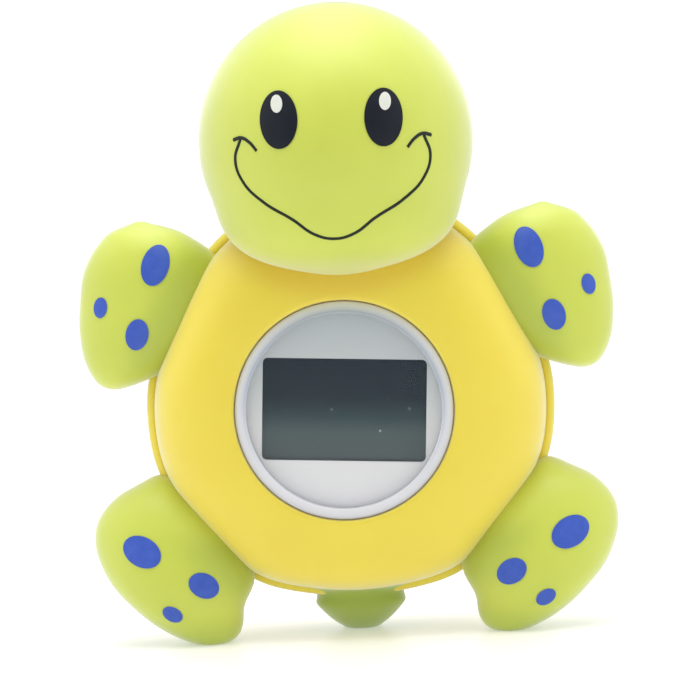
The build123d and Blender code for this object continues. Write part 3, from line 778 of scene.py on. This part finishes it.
def zebra_rubber():
    """Layered silicone connector: pink insulating rubber with fine black conducting stripes."""
    material, tree, shader, place = surface("zebra silicone rubber", "#c98f8b", roughness=0.6)
    # The real stripes are 0.1 mm apart, and are drawn at 0.35 mm so that they can be seen.
    stripes = add_node(
        tree, "ShaderNodeTexWave", {"bands_direction": "X", "Scale": 1 / (20 * 0.35 * MM)},
        {"Vector": (place, "Object")},
    )
    tone = colour_ramp(tree, stripes, [(0.45, "#2a2a2c"), (0.55, "#d79f99")])
    tree.links.new(tone.outputs["Color"], shader.inputs["Base Color"])
    grain(tree, shader, place, 0.3, 0.02)
    return material


def solder_mask():
    """Glass-epoxy circuit board under green solder mask: satin, with the tracks paler beneath it."""
    material, tree, shader, place = surface(
        "green solder mask on glass epoxy", "#1d6a3c", roughness=0.32, coat_weight=0.4
    )
    tracks = add_node(
        tree, "ShaderNodeTexVoronoi",
        {"distance": "CHEBYCHEV", "feature": "DISTANCE_TO_EDGE", "Scale": 1 / (2.4 * MM)},
        {"Vector": (place, "Object")},
    )
    tone = colour_ramp(tree, tracks, [(0.05, "#3f9a5c"), (0.09, "#175a33")])
    tree.links.new(tone.outputs["Color"], shader.inputs["Base Color"])
    grain(tree, shader, place, 0.5, 0.02)
    return material


# Painted marks: flat even colour with soft low highlights.
EYE_INK = pad_ink("black pad-print ink", "#0b121d", "#101927", 0.34)
LINE_INK = pad_ink("green-black pad-print ink", "#141c10", "#1b2616", 0.4)
GLINT_INK = pad_ink("white pad-print ink", "#e0e2d8", "#d3d6cb", 0.35)
SPOT_INK = pad_ink("blue pad-print ink", "#3d5bbd", "#4b69c9", 0.4)

# The turtle's castings: body colour, mottle, and a deep colour for the painted shade in the creases and under
# the chin.
LIME = soft_vinyl("lime soft PVC", "#ced954", "#bfcb48", "#9cb243")
# The tail's lime is darker all over: painted shadow from the shell above it.
SHADED_TAIL_LIME = soft_vinyl("deeper lime soft PVC", "#a9bf4a", "#9ab03f", "#94ac40")
YELLOW = soft_vinyl("yellow soft PVC", "#f1dc49", "#ebce3e", "#d8a832")

# The case is a clean satin white, and its gaskets are cloudy.
WHITE_ABS = moulded("white ABS", "#dadbdb", "#cfd1d2", 0.38, ior=1.54)
SILICONE = moulded(
    "translucent silicone rubber", "#c3cad3", "#b5bdc9", 0.42,
    ior=1.41, subsurface_weight=0.3, subsurface_scale=1.5 * MM,
)

# Inside the case: glossy resin, faintly clouded glass, dull ceramic, and metals by how bright each one is.
BLACK_EPOXY = moulded("black epoxy", "#17181a", "#232527", 0.3, 0.8, ior=1.55)
GLASS = moulded("display glass", "#b4bfba", "#a7b3af", 0.08, 4, ior=1.52, transmission_weight=0.5)
CERAMIC = moulded("tan barium-titanate ceramic", "#a8845c", "#8f6d49", 0.45, 0.5)
NICKEL = metal("bright nickel plate", "#c9c4b8", "#b5ae9e", 0.24)
STAINLESS = metal("turned stainless steel", "#c6c8ca", "#b2b5b8", 0.3, (1, 8, 1))
ALUMINIUM = metal("brushed aluminium film", "#cfd1d2", "#bcbfc1", 0.4, (0.1, 1, 4))
TIN = metal("tinned copper", "#bfbfba", "#a7a69e", 0.36, (1, 0.2, 1))

CAD_FINISHES = {
    "lens_seal": SILICONE,
    "case_seal": SILICONE,
    "battery_cap_seal": SILICONE,
    "sensor_seal": SILICONE,
    "contact_strip_upper": zebra_rubber(),
    "contact_strip_lower": zebra_rubber(),
    "display_panel": silver_dial(),
    "lcd_polarizer": polarizing_film(),
    "lcd_front_glass": GLASS,
    "lcd_rear_glass": GLASS,
    "lcd_reflector": ALUMINIUM,
    "lcd_frame": WHITE_ABS,
    "capsule_body": WHITE_ABS,
    "rear_cover": WHITE_ABS,
    "battery_cap": WHITE_ABS,
    "circuit_board": solder_mask(),
    "chip_blob": BLACK_EPOXY,
    "chip_parts": CERAMIC,
    "quartz_crystal": NICKEL,
    "battery_spring": NICKEL,
    "battery_side_contact": NICKEL,
    "board_screws": STAINLESS,
    "case_screws": STAINLESS,
    "coin_cell_inner": NICKEL,
    "coin_cell_outer": NICKEL,
    "sensor_cap": STAINLESS,
    "water_contacts": STAINLESS,
    "thermistor": BLACK_EPOXY,
    "battery_leads": TIN,
    "thermistor_leads": TIN,
    "water_contact_wires": TIN,
}


def finish_cad_nodes():
    """Give every node that stays its own finish."""
    for name, material in CAD_FINISHES.items():
        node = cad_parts[name]
        node.data.materials.clear()
        node.data.materials.append(material)


def finish_piece(piece, material, body, slot, *nodes):
    """Give a modelled piece its material, the body it moves with, and the nodes it stands in for."""
    piece.data.materials.clear()
    piece.data.materials.append(material)
    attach(piece, body)
    if nodes:
        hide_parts(*nodes)


def paint_face(head):
    """Eyes with their glints, the smile, and the crease at each corner of it."""
    for side, word in ((-1, "left"), (1, "right")):
        eye_at = on_face(side * EYE_AT[0], EYE_AT[1])
        eye = painted_patch(f"eye_{word}", head, eye_at, EYE_SIZE, -FACE_TURN)
        finish_piece(eye, EYE_INK, "turtle", "lime_vinyl")
        glint_at = on_face(side * (EYE_AT[0] + GLINT_AT[0]), EYE_AT[1] + GLINT_AT[1])
        glint = painted_patch(f"eye_glint_{word}", head, glint_at, GLINT_SIZE, -FACE_TURN, PAINT)
        finish_piece(glint, GLINT_INK, "turtle", "lime_vinyl")
        crease = [on_face(side * x, z) for x, z in MOUTH_CORNER]
        corner = painted_line(f"smile_corner_{word}", head, crease, PAINT_LINE)
        finish_piece(corner, LINE_INK, "turtle", "lime_vinyl")
    smile = [(-x, z) for x, z in MOUTH] + MOUTH[-2::-1]
    smile = painted_line("smile", head, [on_face(x, z) for x, z in smile], PAINT_LINE)
    finish_piece(smile, LINE_INK, "turtle", "lime_vinyl")


def paint_spots(label, spots, right, left):
    """The same oval spots on both limbs of a pair."""
    for number, (x, z, long_half, wide_half, lean) in enumerate(spots, 1):
        for side, word, limb in ((1, "right", right), (-1, "left", left)):
            turn = side * math.radians(lean)
            size = (wide_half, long_half)
            spot = painted_patch(f"{label}_spot_{word}_{number}", limb, (side * x, z), size, turn)
            finish_piece(spot, SPOT_INK, "turtle", "lime_vinyl")


# ---- Camera, light and floor ----
CAMERA_AZIMUTH = math.radians(1.4)
CAMERA_ELEVATION = math.radians(4.0)
CAMERA_ROLL = math.radians(2.9)
CAMERA_DISTANCE = 700.0
CAMERA_TARGET = (0.77, -7.2, 51.2)
CAMERA_LENS = 208.4

# How bright the tent is, from where the camera stands (0) to behind the turtle (1).
TENT_LEVELS = [
    (0.0, "#7c7c7c"), (0.2, "#bebebe"), (0.42, "#ffffff"), (0.6, "#e4e4e4"), (0.75, "#acacac"),
    (0.95, "#acacac"), (0.985, "#e1e1e1"),
]
TENT_STRENGTH = 1.44
# Each light's place, size and watts. All face the turtle's middle.
SOFTBOXES = {"top": ((0, -60, 520), 380, 1.3), "back edge": ((0, 200, 480), 220, 0.35)}
TURTLE_MIDDLE = (0, 0, 50)
FLOOR_WIDTH = 6000
FLOOR_GLOW = 0.34


def place_camera():
    """A long lens, a little above the middle, a little to the right, and tipped."""
    data = bpy.data.cameras.new("camera")
    data.lens = CAMERA_LENS
    camera = bpy.data.objects.new("camera", data)
    bpy.context.collection.objects.link(camera)
    toward = Vector((
        math.sin(CAMERA_AZIMUTH) * math.cos(CAMERA_ELEVATION),
        -math.cos(CAMERA_AZIMUTH) * math.cos(CAMERA_ELEVATION),
        math.sin(CAMERA_ELEVATION),
    ))
    camera.location = (Vector(CAMERA_TARGET) + toward * CAMERA_DISTANCE) * MM
    look = (-toward).to_track_quat("-Z", "Y")
    camera.rotation_euler = (look.to_matrix() @ Matrix.Rotation(-CAMERA_ROLL, 3, "Z")).to_euler()
    bpy.context.scene.camera = camera


def softbox(name, place, size, power):
    """A square area light that faces the turtle's middle."""
    data = bpy.data.lights.new(name, "AREA")
    data.size = size * MM
    data.energy = power
    lamp = bpy.data.objects.new(name, data)
    bpy.context.collection.objects.link(lamp)
    lamp.location = Vector(place) * MM
    toward = Vector(TURTLE_MIDDLE) * MM - lamp.location
    lamp.rotation_euler = toward.to_track_quat("-Z", "Y").to_euler()


def light_tent():
    """White light all round: strongest from the sides, and dimmest where the camera stands."""
    world = bpy.data.worlds.new("tent")
    bpy.context.scene.world = world
    world.use_nodes = True
    tree = world.node_tree
    background = next(n for n in tree.nodes if n.type == "BACKGROUND")
    facing = add_node(tree, "ShaderNodeTexCoord")
    split = add_node(tree, "ShaderNodeSeparateXYZ", {}, {"Vector": (facing, "Generated")})
    depth = add_node(tree, "ShaderNodeMapRange", {"From Min": -1.0, "From Max": 1.0}, {"Value": (split, "Y")})
    level = colour_ramp(tree, depth, TENT_LEVELS)
    tree.links.new(level.outputs["Color"], background.inputs["Color"])
    background.inputs["Strength"].default_value = TENT_STRENGTH
    for name, (spot, size, power) in SOFTBOXES.items():
        softbox(name, spot, size, power)


def lay_floor():
    """A wide pale sheet, lit a little from below so that shadows on it stay soft."""
    deselect()
    bpy.ops.mesh.primitive_plane_add(size=FLOOR_WIDTH * MM, location=(0, 0, 0))
    floor = started("floor")
    sheet, tree, shader, place = surface("backlit white acrylic sheet", "#dadada", roughness=0.4, ior=1.49)
    mottle(tree, shader, place, "#dadada", "#d6d6d6", 60, 0.5)
    shader.inputs["Emission Color"].default_value = (1, 1, 1, 1)
    shader.inputs["Emission Strength"].default_value = FLOOR_GLOW
    floor.data.materials.append(sheet)


# ---- Everything in its place ----
bpy.context.scene.view_settings.view_transform = "Standard"
place_camera()
light_tent()
lay_floor()
finish_cad_nodes()
finish_piece(make_lens(), clear_window(), "capsule", "clear_polycarbonate", "lens")
head_piece = make_head()
finish_piece(head_piece, LIME, "turtle", "lime_vinyl", "head")
paint_face(head_piece)
finish_piece(make_belly(), YELLOW, "turtle", "yellow_vinyl", "belly_shell")
finish_piece(make_back(), YELLOW, "turtle", "yellow_vinyl", "back_shell")
for label, stations, spots in (("front_flipper", ARM, ARM_SPOTS), ("hind_foot", LEG, LEG_SPOTS)):
    right = limb_pad(f"{label}_casting_right", stations)
    left = mirrored(right, f"{label}_casting_left")
    finish_piece(right, LIME, "turtle", "lime_vinyl", f"{label}_right")
    finish_piece(left, LIME, "turtle", "lime_vinyl", f"{label}_left")
    paint_spots(label, spots, right, left)
finish_piece(limb_pad("tail_casting", TAIL), SHADED_TAIL_LIME, "turtle", "lime_vinyl", "tail")
